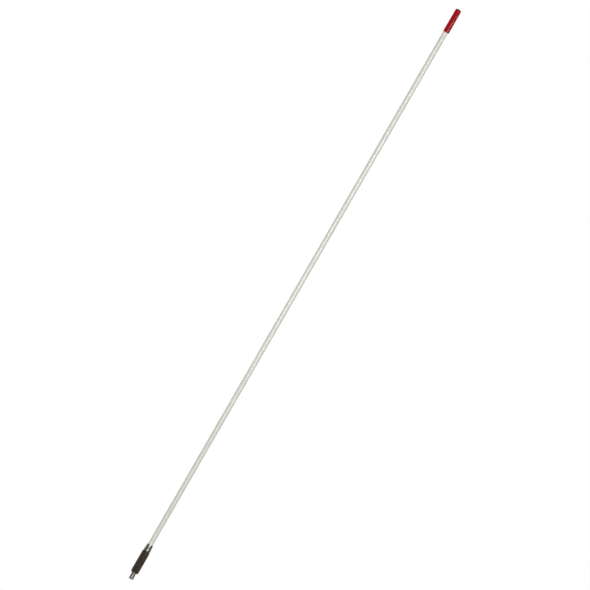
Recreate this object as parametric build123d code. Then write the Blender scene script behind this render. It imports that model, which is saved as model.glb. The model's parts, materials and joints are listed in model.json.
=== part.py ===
from build123d import *

import os
from math import radians, tan

from build123d.topology import SkipClean

# Roller extension pole, in millimetres.
# The origin is on the pole's axis where a roller frame's socket seats on the adapter's flange.
# +Z runs up the pole to the grip cap, so the threaded stud points along -Z.

# Pole
TUBE_R = 9.525
TUBE_BORE_R = 7.525
TUBE_BOTTOM = 68.0
TUBE_TOP = 2407.9

# Grip cap and the plug under it
CAP_TOP_R = 11.0
CAP_R = 11.5
CAP_LIP_R = 11.75
CAP_LIP_HEIGHT = 3.0
CAP_BOTTOM = 2315.3
CAP_TOP = 2413.4
CAP_BORE_R = 9.55
CAP_CEILING = 2409.9
CAP_DOME_FILLET = 4.5
PLUG_R = 7.45
END_PLUG_BOTTOM = 2377.9
END_PLUG_HEAD_R = 9.3
END_PLUG_HEAD = 1.9
CORE_PLUG_BOTTOM = 69.0
CORE_PLUG_TOP = 118.0

# Coupling body: nose, core under the guide bush, then a ferrule with a band, a groove and a taper
NOSE_R = 9.6
NOSE_BOTTOM = 2.2
CORE_R = 10.9
CORE_BOTTOM = 64.0
BAND_R = 13.8
BAND_BOTTOM = 94.5
BAND_TOP = 104.6
BAND_EDGE = 0.6
GROOVE_R = 12.6
GROOVE_TOP = 111.8
TAPER_R = 12.95
TAPER_TOP_R = 11.7
FERRULE_TOP = 121.3
FERRULE_EDGE = 0.5
TUBE_SOCKET_R = 9.6
SHANK_BORE_FLATS = 12.8
SHANK_BORE_TOP = 36.0

# Guide bush that the sleeve slides on, stepped down where it shows above the sleeve
BUSH_BORE_R = 10.95
BUSH_R = 13.8
BUSH_STEP_Z = 92.2
BUSH_NECK_R = 11.8
BUSH_TOP = 94.45
BUSH_EDGE = 0.4

# Ball lock
BALL_R = 2.38
BALL_COUNT = 3
BALL_Z = 18.5
BALL_LOCKED_R = 7.3
BALL_TRAVEL = 1.6
BALL_HOLE_R = 2.43
SLEEVE_TRAVEL = 9.0

# Retaining ring
RING_BOTTOM = 4.6
RING_TOP = 6.0
RING_GROOVE_R = 8.4
RING_R = 11.75
RING_GAP = 5.0

# Lock sleeve
SLEEVE_R = 15.3
SLEEVE_BOTTOM = 3.0
SLEEVE_TOP = 91.0
SLEEVE_BORE_R = 13.85
SLEEVE_MOUTH_R = 12.05
SLEEVE_RELIEF_R = 11.35
SLEEVE_LAND_R = 9.65
SLEEVE_LAND_TOP = 26.5
RAMP_TOP = 19.06
SLEEVE_EDGE = 0.5
SLEEVE_LIP_R = 15.55
SLEEVE_LIP_TOP = 7.5

# Spring and washer
WASHER = 1.0
WIRE_R = 0.8
SPRING_COIL_R = 11.1
SPRING_TURNS = 6

# O-ring
O_RING_Z = 84.0
O_RING_COIL_R = 13.0
O_RING_WIRE_R = 0.8
O_RING_GROOVE_R = 12.15
O_RING_GROOVE = 2.0

# Rivet and cross pin
RIVET_Z = 108.2
RIVET_R = 2.0
RIVET_HEAD_R = 2.8
RIVET_HEAD = 1.0
RIVET_SEAT = 12.2
RIVET_SEAT_R = 3.0
PIN_Z = 76.0
PIN_R = 2.0
PIN_HALF_LENGTH = 13.35
PIN_CLEARANCE = 0.03

# Thread adapter with a 3/4 inch, 5 turns per inch trapezoidal pole thread of stub depth
FLANGE_R = 11.4
FLANGE = 2.0
NECK_R = 8.5
NECK_BOTTOM = -3.6
SHANK_FLATS = 12.7
SHANK_TOP = 34.0
THREAD_R = 9.525
THREAD_ROOT_R = 7.95
THREAD_PITCH = 5.08
THREAD_CREST = 2.15
THREAD_FLANK = tan(radians(14.5))
THREAD_TURNS = 3.5
THREAD_START = -23.4
STUD_BOTTOM = -25.0
STUD_CHAMFER = 1.0
LEAD_IN_R = 7.6
LEAD_IN_TOP_R = 9.8
LEAD_IN = 2.05


def cylinder(radius, bottom, top):
    """A cylinder on the pole's axis between two heights."""
    return Pos(0, 0, bottom) * Cylinder(radius, top - bottom, align=(Align.CENTER, Align.CENTER, Align.MIN))


def hexagon(flats, bottom, top):
    """A hexagonal prism on the axis, with one pair of flats facing front and back."""
    outline = RegularPolygon(flats / 2, 6, major_radius=False)
    return Pos(0, 0, bottom) * extrude(outline, top - bottom)


def turned(outline):
    """A solid of revolution about the axis from (radius, height) points."""
    return revolve(Plane.XZ * make_face(Polyline(*outline, close=True)), Axis.Z)


def cross_hole(radius, height, turn):
    """A cylinder through the axis at a height, along Y turned about Z."""
    return Pos(0, 0, height) * Rot(0, 0, turn) * Rot(90, 0, 0) * Cylinder(radius, 60)


def ball_angles():
    """Directions of the balls from the axis, each square to a flat of the shank."""
    return [30 + 360 / BALL_COUNT * i for i in range(BALL_COUNT)]


def pole_tube():
    tube = cylinder(TUBE_R, TUBE_BOTTOM, TUBE_TOP) - cylinder(TUBE_BORE_R, TUBE_BOTTOM, TUBE_TOP)
    tube -= cross_hole(RIVET_R + PIN_CLEARANCE, RIVET_Z, 0)
    tube -= cross_hole(PIN_R + PIN_CLEARANCE, PIN_Z, 90)
    return tube


def grip_cap():
    skin = turned([(0, CAP_BOTTOM), (CAP_R, CAP_BOTTOM), (CAP_TOP_R, CAP_TOP), (0, CAP_TOP)])
    skin = fillet(skin.edges().group_by(Axis.Z)[-1], CAP_DOME_FILLET)
    lip = cylinder(CAP_LIP_R, CAP_BOTTOM, CAP_BOTTOM + CAP_LIP_HEIGHT)
    lip = fillet(lip.edges().filter_by(GeomType.CIRCLE), 0.28)
    return skin + lip - cylinder(CAP_BORE_R, CAP_BOTTOM, CAP_CEILING)


def tube_end_plug():
    shank = cylinder(PLUG_R, END_PLUG_BOTTOM, TUBE_TOP)
    shank = chamfer(shank.edges().group_by(Axis.Z)[0], 1.0)
    head = cylinder(END_PLUG_HEAD_R, TUBE_TOP, TUBE_TOP + END_PLUG_HEAD)
    return shank + chamfer(head.edges().group_by(Axis.Z)[-1], 0.5)


def tube_core_plug():
    plug = cylinder(PLUG_R, CORE_PLUG_BOTTOM, CORE_PLUG_TOP)
    plug = chamfer(plug.edges().filter_by(GeomType.CIRCLE), 0.8)
    plug -= cross_hole(RIVET_R + PIN_CLEARANCE, RIVET_Z, 0)
    return plug - cross_hole(PIN_R + PIN_CLEARANCE, PIN_Z, 90)


def ferrule():
    """Core, band, groove and taper, turned in one piece over the tube's end."""
    return turned([
        (0, CORE_BOTTOM),
        (CORE_R, CORE_BOTTOM),
        (CORE_R, BAND_BOTTOM),
        (BAND_R - BAND_EDGE, BAND_BOTTOM),
        (BAND_R, BAND_BOTTOM + BAND_EDGE),
        (BAND_R, BAND_TOP - BAND_EDGE),
        (BAND_R - BAND_EDGE, BAND_TOP),
        (GROOVE_R, BAND_TOP),
        (GROOVE_R, GROOVE_TOP),
        (TAPER_R, GROOVE_TOP + FERRULE_EDGE),
        (TAPER_TOP_R, FERRULE_TOP - FERRULE_EDGE),
        (TAPER_TOP_R - FERRULE_EDGE, FERRULE_TOP),
        (0, FERRULE_TOP),
    ])


def rivet_seats():
    """What the two flat seats under the rivet's heads take away."""
    seats = cross_hole(RIVET_SEAT_R, RIVET_Z, 0)
    return seats - Pos(0, 0, RIVET_Z) * Box(20 * RIVET_SEAT_R, 2 * RIVET_SEAT, 4 * RIVET_SEAT_R)


def coupling_body():
    body = cylinder(NOSE_R, NOSE_BOTTOM, CORE_BOTTOM) + ferrule() - rivet_seats()
    body -= cylinder(TUBE_SOCKET_R, TUBE_BOTTOM, FERRULE_TOP)
    body -= hexagon(SHANK_BORE_FLATS, NOSE_BOTTOM, SHANK_BORE_TOP)
    body -= cylinder(NOSE_R + 1, RING_BOTTOM, RING_TOP) - cylinder(RING_GROOVE_R, RING_BOTTOM, RING_TOP)
    for angle in ball_angles():
        drill = Pos(0, 0, BALL_Z) * Rot(0, 0, angle) * Pos(NOSE_R, 0, 0) * Rot(0, 90, 0)
        body -= drill * Cylinder(BALL_HOLE_R, NOSE_R)
    body -= cross_hole(RIVET_R + PIN_CLEARANCE, RIVET_Z, 0)
    return body - cross_hole(PIN_R + PIN_CLEARANCE, PIN_Z, 90)


def guide_bush():
    """Bush round the core, with the O-ring's groove; the cross pin holds it."""
    bush = turned([
        (BUSH_BORE_R, CORE_BOTTOM),
        (BUSH_R - BUSH_EDGE, CORE_BOTTOM),
        (BUSH_R, CORE_BOTTOM + BUSH_EDGE),
        (BUSH_R, O_RING_Z - O_RING_GROOVE / 2),
        (O_RING_GROOVE_R, O_RING_Z - O_RING_GROOVE / 2),
        (O_RING_GROOVE_R, O_RING_Z + O_RING_GROOVE / 2),
        (BUSH_R, O_RING_Z + O_RING_GROOVE / 2),
        (BUSH_R, BUSH_STEP_Z - BUSH_EDGE),
        (BUSH_R - BUSH_EDGE, BUSH_STEP_Z),
        (BUSH_NECK_R, BUSH_STEP_Z),
        (BUSH_NECK_R, BUSH_TOP),
        (BUSH_BORE_R, BUSH_TOP),
    ])
    return bush - cross_hole(PIN_R + PIN_CLEARANCE, PIN_Z, 90)


def lock_sleeve():
    """Sleeve whose ramp lets the balls out in step with its travel."""
    ramp_bottom = RAMP_TOP - (SLEEVE_RELIEF_R - SLEEVE_LAND_R) * SLEEVE_TRAVEL / BALL_TRAVEL
    return turned([
        (SLEEVE_MOUTH_R, SLEEVE_BOTTOM),
        (SLEEVE_LIP_R - SLEEVE_EDGE, SLEEVE_BOTTOM),
        (SLEEVE_LIP_R, SLEEVE_BOTTOM + SLEEVE_EDGE),
        (SLEEVE_LIP_R, SLEEVE_LIP_TOP),
        (SLEEVE_R, SLEEVE_LIP_TOP + SLEEVE_EDGE),
        (SLEEVE_R, SLEEVE_TOP - SLEEVE_EDGE),
        (SLEEVE_R - SLEEVE_EDGE, SLEEVE_TOP),
        (SLEEVE_BORE_R, SLEEVE_TOP),
        (SLEEVE_BORE_R, SLEEVE_LAND_TOP),
        (SLEEVE_LAND_R, SLEEVE_LAND_TOP),
        (SLEEVE_LAND_R, RAMP_TOP),
        (SLEEVE_RELIEF_R, ramp_bottom),
        (SLEEVE_RELIEF_R, RING_TOP + 0.02),
        (SLEEVE_MOUTH_R, RING_TOP + 0.02),
    ])


def spring_washer():
    bottom = SLEEVE_LAND_TOP
    return cylinder(SLEEVE_BORE_R - 0.25, bottom, bottom + WASHER) - cylinder(NOSE_R + 0.15, bottom, bottom + WASHER)


def sleeve_spring():
    """Open-ended compression spring between the washer and the shoulder of core and bush."""
    bottom = SLEEVE_LAND_TOP + WASHER + WIRE_R
    height = CORE_BOTTOM - WIRE_R - bottom
    path = Helix(height / SPRING_TURNS, height, SPRING_COIL_R)
    wire = sweep(Plane.XZ * Pos(SPRING_COIL_R, 0, 0) * Circle(WIRE_R), path, is_frenet=True)
    return Pos(0, 0, bottom) * wire


def retaining_ring():
    ring = cylinder(RING_R, RING_BOTTOM + 0.05, RING_TOP) - cylinder(RING_GROOVE_R + 0.05, RING_BOTTOM, RING_TOP)
    return ring - Pos(0, RING_R, RING_BOTTOM) * Box(RING_GAP, RING_R, 10)


def lock_ball(angle):
    return Pos(0, 0, BALL_Z) * Rot(0, 0, angle) * Pos(BALL_LOCKED_R, 0, 0) * Sphere(BALL_R)


def sleeve_o_ring():
    return Pos(0, 0, O_RING_Z) * Torus(O_RING_COIL_R, O_RING_WIRE_R)


def rivet_head():
    """A shallow domed head on the XY plane, its dome towards +Z."""
    dome_r = (RIVET_HEAD_R**2 + RIVET_HEAD**2) / (2 * RIVET_HEAD)
    dome = Pos(0, 0, RIVET_HEAD - dome_r) * Sphere(dome_r)
    return dome & Cylinder(RIVET_HEAD_R, RIVET_HEAD, align=(Align.CENTER, Align.CENTER, Align.MIN))


def collar_rivet():
    rivet = Rot(90, 0, 0) * Cylinder(RIVET_R, 2 * RIVET_SEAT)
    for side in (90, -90):
        rivet += Rot(side, 0, 0) * Pos(0, 0, RIVET_SEAT) * rivet_head()
    return Pos(0, 0, RIVET_Z) * rivet


def tube_cross_pin():
    pin = Cylinder(PIN_R, 2 * PIN_HALF_LENGTH)
    pin = chamfer(pin.edges().filter_by(GeomType.CIRCLE), 0.4)
    return Pos(0, 0, PIN_Z) * Rot(0, 90, 0) * pin


def thread_ridge():
    """A quarter turn of the helical ridge, its crest trimmed to the thread's major diameter."""
    inner = THREAD_ROOT_R - 0.4
    outer = THREAD_R + 0.8
    inner_half = THREAD_CREST / 2 + (THREAD_R - inner) * THREAD_FLANK
    outer_half = THREAD_CREST / 2 - (outer - THREAD_R) * THREAD_FLANK
    section = [(inner, -inner_half), (outer, -outer_half), (outer, outer_half), (inner, inner_half)]
    path = Helix(THREAD_PITCH, THREAD_PITCH / 4, THREAD_R)
    ridge = sweep(Plane.XZ * make_face(Polyline(*section, close=True)), path, is_frenet=True)
    return ridge & Rot(0, 0, 200) * Cylinder(THREAD_R, 4 * THREAD_PITCH)


def thread_blank():
    """The cone at the stud's tip that the first turns of the thread run out into."""
    bottom = STUD_BOTTOM - 0.5
    top = bottom + LEAD_IN
    outline = [(0, bottom), (LEAD_IN_R, bottom), (LEAD_IN_TOP_R, top), (LEAD_IN_TOP_R, 10), (0, 10)]
    return Rot(0, 0, 77) * turned(outline)


def thread_adapter():
    shank = hexagon(SHANK_FLATS, FLANGE, SHANK_TOP)
    shank = chamfer(shank.edges().group_by(Axis.Z)[-1], 0.8)
    shank -= Pos(0, 0, BALL_Z) * Torus(BALL_LOCKED_R, BALL_R + 0.07)
    flange = cylinder(FLANGE_R, 0, FLANGE)
    flange = chamfer(flange.edges().filter_by(GeomType.CIRCLE), 0.5)
    core = Rot(0, 0, 33) * cylinder(THREAD_ROOT_R, STUD_BOTTOM, 0)
    core = chamfer(core.edges().group_by(Axis.Z)[0], STUD_CHAMFER)
    neck = cylinder(NECK_R, NECK_BOTTOM, 0)
    neck = chamfer(neck.edges().group_by(Axis.Z)[0], 0.5)
    ridge = thread_ridge()
    turns = [
        Pos(0, 0, THREAD_START + THREAD_PITCH / 4 * i) * Rot(0, 0, 90 * i) * ridge
        for i in range(int(4 * THREAD_TURNS))
    ]
    turns[:4] = [quarter & thread_blank() for quarter in turns[:4]]
    with SkipClean():
        return core + turns + neck + flange + shank


def pieces():
    named = {
        "pole_tube": pole_tube(),
        "grip_cap": grip_cap(),
        "tube_end_plug": tube_end_plug(),
        "tube_core_plug": tube_core_plug(),
        "coupling_body": coupling_body(),
        "guide_bush": guide_bush(),
        "lock_sleeve": lock_sleeve(),
        "sleeve_spring": sleeve_spring(),
        "spring_washer": spring_washer(),
        "retaining_ring": retaining_ring(),
        "sleeve_o_ring": sleeve_o_ring(),
        "collar_rivet": collar_rivet(),
        "tube_cross_pin": tube_cross_pin(),
        "thread_adapter": thread_adapter(),
    }
    for i, angle in enumerate(ball_angles()):
        named[f"lock_ball_{i + 1}"] = lock_ball(angle)
    return named


def main():
    os.makedirs("parts", exist_ok=True)
    for name, shape in pieces().items():
        export_step(shape, f"parts/{name}.step")


main()
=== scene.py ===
import json
import math

import bmesh
import bpy
from mathutils import Matrix, Vector


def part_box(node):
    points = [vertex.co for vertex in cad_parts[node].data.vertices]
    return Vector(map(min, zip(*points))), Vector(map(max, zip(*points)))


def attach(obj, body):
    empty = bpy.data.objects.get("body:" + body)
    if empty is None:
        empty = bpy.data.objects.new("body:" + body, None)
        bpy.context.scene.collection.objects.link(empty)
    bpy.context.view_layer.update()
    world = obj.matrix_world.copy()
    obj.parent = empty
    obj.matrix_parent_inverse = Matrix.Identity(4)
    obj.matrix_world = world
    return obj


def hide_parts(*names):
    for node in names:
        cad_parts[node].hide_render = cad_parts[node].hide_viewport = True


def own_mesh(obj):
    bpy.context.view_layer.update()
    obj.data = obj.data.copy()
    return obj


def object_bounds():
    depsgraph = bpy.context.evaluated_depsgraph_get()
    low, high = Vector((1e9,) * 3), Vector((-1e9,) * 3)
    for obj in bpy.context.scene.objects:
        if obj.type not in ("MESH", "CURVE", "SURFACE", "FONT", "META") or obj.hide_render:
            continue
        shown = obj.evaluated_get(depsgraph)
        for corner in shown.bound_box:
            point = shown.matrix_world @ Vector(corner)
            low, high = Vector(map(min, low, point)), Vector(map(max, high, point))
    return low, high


# Roller extension pole: looks, light and camera. Metres, in the row frame, +Z up the pole.

# Grip cap, which gets a dipped skin
CAP_RIM = 0.0012
CAP_RIM_RISE = 0.00025
CAP_TAPER = 0.0005
CAP_SHOULDER = 0.0046
CAP_CROWN = 0.0007
CAP_LEAN = 0.0005
CAP_SAG = 0.0006
CAP_RIPPLE = 0.00007
CAP_SLANT = 0.0008
CAP_BORE = 0.00955
CAP_MOUTH = 0.0003
CAP_CEILING = 0.0035
CAP_SIDE_ROWS = 40
CAP_AROUND = 96

# Lock sleeve, which gets real knurling
SLEEVE_EDGE = 0.0005
SLEEVE_BORE = 0.01385
SLEEVE_MOUTH = 0.01205
SLEEVE_LAND_TOP = 0.0265
LIP_TOP = 0.0075
LIP_RISE = 0.00025
KNURL_BOTTOM = 0.0105
KNURL_TOP = 0.0585
KNURL_AROUND = 72
KNURL_DEPTH = 0.00040
GROOVE_DEPTH = 0.0004
GROOVE_SLOPE = 0.0003
GROOVE_WIDTH = 0.0015
GROOVE_BELOW_KNURL = 0.0018
GROOVE_ABOVE_KNURL = 0.0004

# Spring inside the sleeve, which gets closed, ground ends
SPRING_WIRE = 0.0008
SPRING_TURNS = 7.5
SPRING_STEPS = 48
WIRE_SIDES = 12

# Meshes
MERGE_DISTANCE = 1e-6
SHARP_CREASE = math.radians(35)

# Turning marks on metal: how many cross a metre of length, and how deep they are
TURNING_MARKS = 900.0
TURNING_DEPTH = 0.00002

# Camera: level with the pole's middle, far enough back that the rims look straight
CAMERA_DISTANCE = 20.0
CAMERA_REACH = 500.0
POLE_LEAN = math.radians(29.96)
VIEW_WIDTH = 2.189
SENSOR = 0.036
AIM_SHIFT = (0.00104, -0.00318)

# Light: soft boxes, then lobes (direction, power, strength) of world light.
# A box is (width, height, power, middle, roll, lights): it lights matt surfaces or makes highlights.
SOFT_BOXES = {
    "upper_strip": (0.24, 1.4, 36.0, (0.42, -2.4, 1.64), math.radians(-38.0), "highlights"),
    "lower_box": (2.0, 1.3, 10.5, (0.45, -2.4, 0.35), 0.0, "highlights"),
    "cap_strip": (0.8, 0.14, 14.0, (1.54, -1.84, 2.37), 0.0, "highlights"),
    "cap_top": (0.5, 0.4, 22.0, (-0.6, -1.84, 3.95), 0.0, "highlights"),
    "rear_strip": (0.5, 2.4, 2.0, (1.1, 2.4, 1.2), 0.0, "highlights"),
    "upper_fill": (1.2, 1.2, 12.0, (0.1, -2.6, 1.55), 0.0, "matt"),
}
FRONT = (0.08, -1.0, 0.0)
BACK = (0.0, 1.0, 0.0)
LEFT = (-1.0, 0.45, 0.0)
RIGHT = (1.0, 0.3, 0.0)
ABOVE = (0.0, 0.0, 1.0)
MATT_LOBES = [(FRONT, 3.0, 1.2), (BACK, 6.0, 1.2), (ABOVE, 2.0, 0.35)]
MATT_BASE = 0.28
SHINY_LOBES = [
    (FRONT, 10.0, 0.15),
    (LEFT, 5.0, 0.6),
    (RIGHT, 4.0, 0.18),
    (BACK, 6.0, 0.3),
    (ABOVE, 3.0, 0.2),
]
SHINY_BASE = 0.04
WHITE = 1.0

# Floor
FLOOR_GAP = 0.0015
FLOOR_RADIUS = 60.0
FLOOR_GLOW = 0.78


def new_material(name):
    """A material with an empty node tree but for a Principled shader."""
    mat = bpy.data.materials.new(name)
    mat.use_nodes = True
    tree = mat.node_tree
    return mat, tree, tree.nodes["Principled BSDF"]


def set_values(node, **values):
    """Sets sockets by name, with underscores for spaces."""
    for key, value in values.items():
        node.inputs[key.replace("_", " ")].default_value = value


def stretched_noise(tree, scale, detail):
    """Noise in object space with its own scale along each axis."""
    where = tree.nodes.new("ShaderNodeTexCoord")
    mapping = tree.nodes.new("ShaderNodeMapping")
    mapping.inputs["Scale"].default_value = scale
    noise = tree.nodes.new("ShaderNodeTexNoise")
    noise.inputs["Scale"].default_value = 1.0
    noise.inputs["Detail"].default_value = detail
    tree.links.new(where.outputs["Object"], mapping.inputs["Vector"])
    tree.links.new(mapping.outputs["Vector"], noise.inputs["Vector"])
    return noise.outputs["Fac"]


def ramp(tree, fac, stops):
    """A colour ramp over (position, colour) stops."""
    node = tree.nodes.new("ShaderNodeValToRGB")
    band = node.color_ramp
    while len(band.elements) < len(stops):
        band.elements.new(0.5)
    for element, (position, colour) in zip(band.elements, stops):
        element.position = position
        element.color = (*colour, 1.0)
    tree.links.new(fac, node.inputs["Fac"])
    return node.outputs["Color"]


def bump(tree, height, distance, under=None):
    """A bump, optionally on top of another one."""
    node = tree.nodes.new("ShaderNodeBump")
    node.inputs["Distance"].default_value = distance
    tree.links.new(height, node.inputs["Height"])
    if under is not None:
        tree.links.new(under, node.inputs["Normal"])
    return node.outputs["Normal"]


def glass_fibre():
    """Pultruded glass fibre: off-white resin with fine strands along the pole."""
    mat, tree, shader = new_material("glass_fibre")
    strands = stretched_noise(tree, (1100.0, 1100.0, 9.0), 4.0)
    mottle = stretched_noise(tree, (70.0, 70.0, 5.0), 2.0)
    fine = ramp(tree, strands, [(0.3, (0.84, 0.84, 0.76)), (0.7, (0.93, 0.93, 0.86))])
    broad = ramp(tree, mottle, [(0.35, (0.93, 0.93, 0.90)), (0.65, (1.0, 1.0, 1.0))])
    mix = tree.nodes.new("ShaderNodeMix")
    mix.data_type = "RGBA"
    mix.blend_type = "MULTIPLY"
    mix.inputs["Factor"].default_value = 1.0
    tree.links.new(fine, mix.inputs[6])
    tree.links.new(broad, mix.inputs[7])
    tree.links.new(mix.outputs[2], shader.inputs["Base Color"])
    rough = ramp(tree, mottle, [(0.3, (0.34,) * 3), (0.7, (0.46,) * 3)])
    tree.links.new(rough, shader.inputs["Roughness"])
    tree.links.new(bump(tree, strands, 0.00004), shader.inputs["Normal"])
    set_values(shader, Coat_Weight=0.15, Coat_Roughness=0.18)
    set_values(shader, Subsurface_Weight=0.35, Subsurface_Radius=(1.0, 1.0, 0.85), Subsurface_Scale=0.004)
    return mat


def red_vinyl():
    """Dipped vinyl: glossy, with the slow ripples of a dipped skin."""
    mat, tree, shader = new_material("red_vinyl")
    ripple = stretched_noise(tree, (60.0, 60.0, 28.0), 1.5)
    grain = stretched_noise(tree, (1600.0, 1600.0, 1600.0), 2.0)
    colour = ramp(tree, ripple, [(0.3, (0.35, 0.001, 0.003)), (0.7, (0.43, 0.002, 0.005))])
    tree.links.new(colour, shader.inputs["Base Color"])
    rough = ramp(tree, grain, [(0.3, (0.14,) * 3), (0.7, (0.20,) * 3)])
    tree.links.new(rough, shader.inputs["Roughness"])
    slow = bump(tree, ripple, 0.00007)
    tree.links.new(bump(tree, grain, 0.000006, slow), shader.inputs["Normal"])
    set_values(shader, Specular_IOR_Level=0.28)
    return mat


def worn_metal(name, dark, light, roughness):
    """Bare or plated metal with turning marks round the axis and a faint tarnish."""
    mat, tree, shader = new_material(name)
    rings = stretched_noise(tree, (25.0, 25.0, TURNING_MARKS), 3.0)
    tarnish = stretched_noise(tree, (140.0, 140.0, 90.0), 4.0)
    tree.links.new(ramp(tree, tarnish, [(0.3, dark), (0.7, light)]), shader.inputs["Base Color"])
    rough = ramp(tree, rings, [(0.3, (roughness * 0.75,) * 3), (0.7, (roughness * 1.3,) * 3)])
    tree.links.new(rough, shader.inputs["Roughness"])
    tree.links.new(bump(tree, rings, TURNING_DEPTH), shader.inputs["Normal"])
    set_values(shader, Metallic=1.0)
    return mat


def dark_sleeve():
    """Dark bronze coating over knurling, rubbed lighter on its crests."""
    mat, tree, shader = new_material("dark_sleeve")
    patches = stretched_noise(tree, (90.0, 90.0, 60.0), 4.0)
    speck = stretched_noise(tree, (2500.0, 2500.0, 2500.0), 2.0)
    colour = ramp(tree, patches, [(0.3, (0.014, 0.008, 0.004)), (0.7, (0.030, 0.020, 0.011))])
    worn = tree.nodes.new("ShaderNodeNewGeometry")
    crest = ramp(tree, worn.outputs["Pointiness"], [(0.52, (0.0,) * 3), (0.60, (1.0,) * 3)])
    mix = tree.nodes.new("ShaderNodeMix")
    mix.data_type = "RGBA"
    tree.links.new(crest, mix.inputs["Factor"])
    tree.links.new(colour, mix.inputs[6])
    mix.inputs[7].default_value = (0.10, 0.085, 0.06, 1.0)
    tree.links.new(mix.outputs[2], shader.inputs["Base Color"])
    rough = ramp(tree, speck, [(0.3, (0.38,) * 3), (0.7, (0.55,) * 3)])
    tree.links.new(rough, shader.inputs["Roughness"])
    tree.links.new(bump(tree, speck, 0.00002), shader.inputs["Normal"])
    set_values(shader, Metallic=0.3, Specular_IOR_Level=0.30, Specular_Tint=(1.0, 0.84, 0.66, 1.0))
    set_values(shader, Sheen_Weight=1.0, Sheen_Roughness=0.45, Sheen_Tint=(1.0, 0.92, 0.80, 1.0))
    return mat


def moulded(name, dark, light, roughness):
    """Plain moulded plastic or rubber with a fine grain."""
    mat, tree, shader = new_material(name)
    grain = stretched_noise(tree, (1400.0, 1400.0, 1400.0), 3.0)
    tree.links.new(ramp(tree, grain, [(0.3, dark), (0.7, light)]), shader.inputs["Base Color"])
    tree.links.new(bump(tree, grain, 0.00003), shader.inputs["Normal"])
    set_values(shader, Roughness=roughness)
    return mat


def core_wood():
    """Turned hardwood, its grain along the pole."""
    mat, tree, shader = new_material("core_wood")
    grain = stretched_noise(tree, (500.0, 500.0, 30.0), 5.0)
    colour = ramp(tree, grain, [(0.3, (0.36, 0.21, 0.10)), (0.7, (0.60, 0.41, 0.23))])
    tree.links.new(colour, shader.inputs["Base Color"])
    tree.links.new(bump(tree, grain, 0.0001), shader.inputs["Normal"])
    set_values(shader, Roughness=0.6)
    return mat


def arc(centre, radius, start, stop, steps):
    """Points of an arc in the (radius, height) plane, by angles in degrees."""
    angles = [math.radians(start + (stop - start) * i / steps) for i in range(steps + 1)]
    return [(centre[0] + radius * math.cos(a), centre[1] + radius * math.sin(a)) for a in angles]


def finished(bm, name):
    """Cleans, shades and links a mesh, with its creases sharp."""
    bmesh.ops.remove_doubles(bm, verts=bm.verts, dist=MERGE_DISTANCE)
    bmesh.ops.recalc_face_normals(bm, faces=bm.faces)
    for face in bm.faces:
        face.smooth = True
    for edge in bm.edges:
        edge.smooth = len(edge.link_faces) == 2 and edge.calc_face_angle() < SHARP_CREASE
    mesh = bpy.data.meshes.new(name)
    bm.to_mesh(mesh)
    bm.free()
    piece = bpy.data.objects.new(name, mesh)
    bpy.context.scene.collection.objects.link(piece)
    return piece


def lathe(name, outline, around, shape):
    """Turns a closed outline about Z; shape(row, angle, radius, height) may move each point."""
    bm = bmesh.new()
    rings = []
    for row, (radius, height) in enumerate(outline):
        angles = [2 * math.pi * i / around for i in range(around)]
        rings.append([bm.verts.new(shape(row, angle, radius, height)) for angle in angles])
    for a, b in zip(rings, rings[1:] + rings[:1]):
        for i in range(around):
            j = (i + 1) % around
            bm.faces.new((a[i], a[j], b[j], b[i]))
    return finished(bm, name)


def dipped_cap(cad_box):
    """A vinyl cap: crowned dome, soft shoulder, slow dipping ripples and a rolled rim."""
    low, high = cad_box[0].z, cad_box[1].z
    rim = cad_box[1].x
    side_low = rim - CAP_RIM_RISE
    side_high = side_low - CAP_TAPER
    top = high - CAP_CROWN
    outline = [(0.0, high)]
    outline += [(side_high * i / 8, top + CAP_CROWN * (1 - (i / 8) ** 2)) for i in range(1, 5)]
    outline += arc((side_high - CAP_SHOULDER, top - CAP_SHOULDER), CAP_SHOULDER, 80, 0, 8)
    rim_top = low + 2.4 * CAP_RIM
    start = top - CAP_SHOULDER
    for i in range(1, CAP_SIDE_ROWS + 1):
        part = i / CAP_SIDE_ROWS
        outline.append((side_high + (side_low - side_high) * part, start + (rim_top - start) * part))
    outline += arc((rim - CAP_RIM, low + CAP_RIM), CAP_RIM, 35, -90, 7)
    outline += [(CAP_BORE + CAP_MOUTH, low), (CAP_BORE, low + CAP_MOUTH)]
    outline += [(CAP_BORE, high - CAP_CEILING), (0.0, high - CAP_CEILING)]
    bore_row = len(outline) - 4

    def shape(row, angle, radius, height):
        if row >= bore_row or radius == 0.0:
            return radius * math.cos(angle), radius * math.sin(angle), height
        along = (height - low) / (high - low)
        ripple = math.sin(2 * angle + 9 * along) * math.sin(23 * along + 1.3)
        ripple += 0.6 * math.sin(3 * angle - 14 * along)
        fade = min(1.0, radius / side_high) ** 4
        r = radius + fade * (CAP_SAG * max(0.0, math.cos(angle)) + CAP_RIPPLE * ripple)
        rise = CAP_SLANT * (1 + math.cos(angle)) / 2 * (1 - along) ** 6
        return r * math.cos(angle) + CAP_LEAN * fade, r * math.sin(angle), height + rise

    return lathe("grip_cap_dipped", outline, CAP_AROUND, shape)


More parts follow.
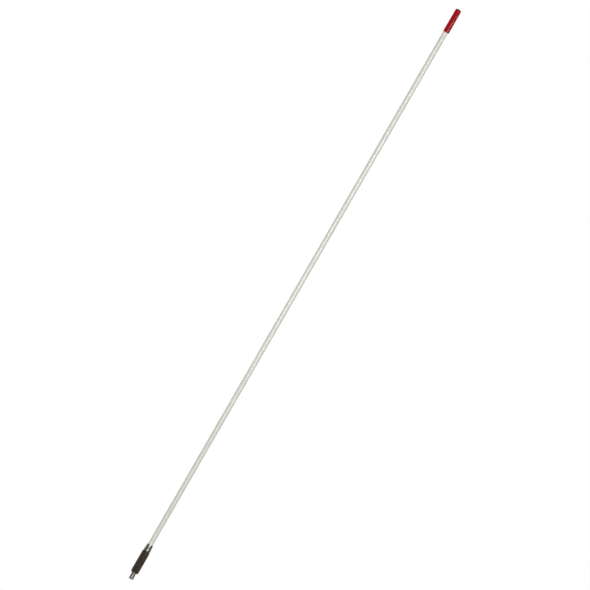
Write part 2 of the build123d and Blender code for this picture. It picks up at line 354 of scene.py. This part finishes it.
def knurled_sleeve(cad_box):
    """The sleeve: rolled lip, a diamond-knurled grip between two grooves, and a smooth upper band."""
    low, high = cad_box[0].z, cad_box[1].z
    lip = cad_box[1].x
    side = lip - LIP_RISE
    edge = SLEEVE_EDGE
    pitch = 2 * math.pi * side / KNURL_AROUND
    rows = 4 * round((KNURL_TOP - KNURL_BOTTOM) / pitch)
    step = (KNURL_TOP - KNURL_BOTTOM) / rows

    def groove(start):
        stop = start + GROOVE_WIDTH
        floor = side - GROOVE_DEPTH
        return [(side, start), (floor, start + GROOVE_SLOPE), (floor, stop - GROOVE_SLOPE), (side, stop)]

    outline = [(SLEEVE_MOUTH, low)]
    outline += arc((lip - edge, low + edge), edge, -90, 0, 4)
    outline += [(lip, LIP_TOP - 0.0002), (side, LIP_TOP + 0.0002)]
    outline += groove(KNURL_BOTTOM - GROOVE_BELOW_KNURL)
    first = len(outline)
    outline += [(side, KNURL_BOTTOM + step * i) for i in range(rows + 1)]
    last = len(outline)
    outline += groove(KNURL_TOP + GROOVE_ABOVE_KNURL)
    outline += arc((side - edge, high - edge), edge, 0, 90, 4)
    outline += [(SLEEVE_BORE, high), (SLEEVE_BORE, SLEEVE_LAND_TOP), (SLEEVE_MOUTH, SLEEVE_LAND_TOP)]

    def shape(row, angle, radius, height):
        if first <= row < last:
            u = angle * KNURL_AROUND / (2 * math.pi)
            v = (height - KNURL_BOTTOM) / pitch
            crest = min(abs((u + v) % 1 - 0.5), abs((u - v) % 1 - 0.5)) * 2
            runout = min(1.0, (row - first) / 3, (last - 1 - row) / 3)
            radius -= KNURL_DEPTH * (1 - min(1.0, crest * 1.5)) * runout
        return radius * math.cos(angle), radius * math.sin(angle), height

    return lathe("lock_sleeve_knurled", outline, KNURL_AROUND * 4, shape)


def ground_spring(cad_box):
    """A compression spring, its end turns closed and ground flat."""
    low, high = cad_box[0].z, cad_box[1].z
    coil = cad_box[1].x - SPRING_WIRE
    closed = 2 * SPRING_WIRE
    pitch = (high - low - SPRING_WIRE - 2 * closed) / (SPRING_TURNS - 2)
    bm = bmesh.new()
    rings = []
    for i in range(int(SPRING_STEPS * SPRING_TURNS) + 1):
        turn = i / SPRING_STEPS
        from_top = SPRING_TURNS - turn
        ends = closed * (min(turn, 1) + 1 - min(from_top, 1))
        centre = low + SPRING_WIRE / 2 + ends + pitch * min(max(turn - 1, 0), SPRING_TURNS - 2)
        angle = 2 * math.pi * turn
        ring = []
        for side in range(WIRE_SIDES):
            around = 2 * math.pi * side / WIRE_SIDES
            radius = coil + SPRING_WIRE * math.cos(around)
            height = min(max(centre + SPRING_WIRE * math.sin(around), low), high)
            ring.append(bm.verts.new((radius * math.cos(angle), radius * math.sin(angle), height)))
        rings.append(ring)
    for a, b in zip(rings, rings[1:]):
        for i in range(WIRE_SIDES):
            j = (i + 1) % WIRE_SIDES
            bm.faces.new((a[i], a[j], b[j], b[i]))
    bm.faces.new(rings[0])
    bm.faces.new(rings[-1])
    return finished(bm, "sleeve_spring_coiled")


def squash_with_sleeve(piece):
    """Gives the spring its own copy of its mesh; its ends are not moved with the sleeve."""
    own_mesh(piece)


def stand_in(piece, node, body, slot):
    """Puts a detailed piece in a CAD node's place, with that slot's finish."""
    piece.data.materials.append(finishes[slot])
    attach(piece, body)
    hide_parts(node)


def dress(node, material):
    """Gives every slot of a CAD node this material."""
    if not node.data.materials:
        node.data.materials.append(material)
    for i in range(len(node.data.materials)):
        node.data.materials[i] = material


def make_camera():
    """A long lens square to the pole, rolled so that the cap end points up and to the right."""
    middle = (frame_low.z + frame_high.z) / 2
    right = Vector((math.cos(POLE_LEAN), 0, math.sin(POLE_LEAN)))
    up = Vector((-math.sin(POLE_LEAN), 0, math.cos(POLE_LEAN)))
    back = Vector((0, -1, 0))
    place = Vector((0, 0, middle)) + back * CAMERA_DISTANCE + right * AIM_SHIFT[0] + up * AIM_SHIFT[1]
    data = bpy.data.cameras.new("camera")
    data.sensor_width = SENSOR * 1000
    data.lens = SENSOR * 1000 * CAMERA_DISTANCE / VIEW_WIDTH
    data.clip_end = CAMERA_REACH
    camera = bpy.data.objects.new("camera", data)
    bpy.context.scene.collection.objects.link(camera)
    rotation = Matrix((right, up, back)).transposed()
    camera.matrix_world = Matrix.Translation(place) @ rotation.to_4x4()
    bpy.context.scene.camera = camera


def make_lights():
    """Soft boxes that face the pole; each works on matt surfaces or on highlights alone."""
    for name, (width, height, power, place, roll, lights) in SOFT_BOXES.items():
        data = bpy.data.lights.new(name, "AREA")
        data.shape = "RECTANGLE"
        data.size = width
        data.size_y = height
        data.energy = power
        light = bpy.data.objects.new(name, data)
        bpy.context.scene.collection.objects.link(light)
        aim = Vector((0, 0, min(place[2], frame_high.z))) - Vector(place)
        turn = aim.to_track_quat("-Z", "Y").to_matrix().to_4x4()
        light.matrix_world = Matrix.Translation(place) @ turn @ Matrix.Rotation(roll, 4, "Z")
        light.visible_diffuse = lights == "matt"
        light.visible_glossy = lights == "highlights"
        light.visible_camera = False


def math_node(tree, operation, a, b):
    """One maths node; either side may be a socket or a number."""
    node = tree.nodes.new("ShaderNodeMath")
    node.operation = operation
    for socket, value in zip(node.inputs, (a, b)):
        if isinstance(value, (int, float)):
            socket.default_value = value
        else:
            tree.links.new(value, socket)
    return node.outputs[0]


def sky(tree, lobes, base):
    """Soft lobes of light, each (direction, power, strength), over a base level."""
    where = tree.nodes.new("ShaderNodeTexCoord")
    total = base
    for direction, power, strength in lobes:
        facing = tree.nodes.new("ShaderNodeVectorMath")
        facing.operation = "DOT_PRODUCT"
        facing.inputs[1].default_value = Vector(direction).normalized()
        tree.links.new(where.outputs["Generated"], facing.inputs[0])
        lit = math_node(tree, "MAXIMUM", facing.outputs["Value"], 0.0)
        shape = math_node(tree, "POWER", lit, power)
        total = math_node(tree, "ADD", math_node(tree, "MULTIPLY", shape, strength), total)
    return total


def make_world():
    """A light tent: white to the camera, soft for matt surfaces, dark at the sides for shiny ones."""
    world = bpy.data.worlds.new("studio")
    bpy.context.scene.world = world
    world.use_nodes = True
    tree = world.node_tree
    tree.nodes.clear()
    matt = sky(tree, MATT_LOBES, MATT_BASE)
    shiny = sky(tree, SHINY_LOBES, SHINY_BASE)
    path = tree.nodes.new("ShaderNodeLightPath")

    def background(strength):
        node = tree.nodes.new("ShaderNodeBackground")
        node.inputs["Color"].default_value = (1, 1, 1, 1)
        if isinstance(strength, float):
            node.inputs["Strength"].default_value = strength
        else:
            tree.links.new(strength, node.inputs["Strength"])
        return node.outputs[0]

    def choose(test, no, yes):
        node = tree.nodes.new("ShaderNodeMixShader")
        tree.links.new(path.outputs[test], node.inputs[0])
        tree.links.new(no, node.inputs[1])
        tree.links.new(yes, node.inputs[2])
        return node.outputs[0]

    seen = choose("Is Glossy Ray", background(matt), background(shiny))
    seen = choose("Is Camera Ray", seen, background(WHITE))
    out = tree.nodes.new("ShaderNodeOutputWorld")
    tree.links.new(seen, out.inputs["Surface"])


def make_floor():
    """A pale floor just below the pole, left out of reflections and bounced light."""
    mesh = bpy.data.meshes.new("floor")
    bm = bmesh.new()
    bmesh.ops.create_circle(bm, cap_ends=True, segments=96, radius=FLOOR_RADIUS)
    bm.to_mesh(mesh)
    bm.free()
    floor = bpy.data.objects.new("floor", mesh)
    floor.location.z = frame_low.z - FLOOR_GAP
    bpy.context.scene.collection.objects.link(floor)
    floor.visible_diffuse = False
    floor.visible_glossy = False
    mat, tree, shader = new_material("pale_floor")
    grain = stretched_noise(tree, (3.0, 3.0, 3.0), 2.0)
    colour = ramp(tree, grain, [(0.3, (0.34, 0.34, 0.34)), (0.7, (0.36, 0.36, 0.36))])
    tree.links.new(colour, shader.inputs["Base Color"])
    set_values(shader, Roughness=0.9, Emission_Color=(1, 1, 1, 1), Emission_Strength=FLOOR_GLOW)
    mesh.materials.append(mat)


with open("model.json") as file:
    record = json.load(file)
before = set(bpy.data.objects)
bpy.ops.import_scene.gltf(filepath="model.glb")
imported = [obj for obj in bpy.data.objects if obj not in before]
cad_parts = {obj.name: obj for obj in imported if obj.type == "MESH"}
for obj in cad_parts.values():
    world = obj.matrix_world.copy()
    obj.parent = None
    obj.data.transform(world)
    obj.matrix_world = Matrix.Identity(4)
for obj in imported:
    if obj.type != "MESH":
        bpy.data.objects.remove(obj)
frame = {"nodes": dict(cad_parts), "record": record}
frame_low, frame_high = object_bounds()
nodes = frame["nodes"]

finishes = {
    "glass_fibre": glass_fibre(),
    "red_vinyl": red_vinyl(),
    "black_plastic": moulded("black_plastic", (0.02, 0.02, 0.02), (0.04, 0.04, 0.04), 0.5),
    "core_wood": core_wood(),
    "bright_steel": worn_metal("bright_steel", (0.46, 0.45, 0.39), (0.62, 0.61, 0.54), 0.24),
    "dark_sleeve": dark_sleeve(),
    "spring_steel": worn_metal("spring_steel", (0.26, 0.26, 0.27), (0.38, 0.38, 0.39), 0.35),
    "black_rubber": moulded("black_rubber", (0.012, 0.012, 0.012), (0.025, 0.025, 0.025), 0.7),
    "rivet_steel": worn_metal("rivet_steel", (0.42, 0.41, 0.40), (0.56, 0.55, 0.53), 0.30),
    "ball_steel": worn_metal("ball_steel", (0.52, 0.52, 0.54), (0.62, 0.62, 0.64), 0.10),
}
for part in frame["record"]["subparts"]:
    dress(nodes[part["node"]], finishes[part["material_slot"]])

stand_in(dipped_cap(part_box("grip_cap")), "grip_cap", "pole", "red_vinyl")
stand_in(knurled_sleeve(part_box("lock_sleeve")), "lock_sleeve", "sleeve", "dark_sleeve")
coiled = ground_spring(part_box("sleeve_spring"))
stand_in(coiled, "sleeve_spring", "pole", "spring_steel")
squash_with_sleeve(coiled)

make_camera()
make_world()
make_lights()
make_floor()
bpy.context.scene.view_settings.view_transform = "Standard"
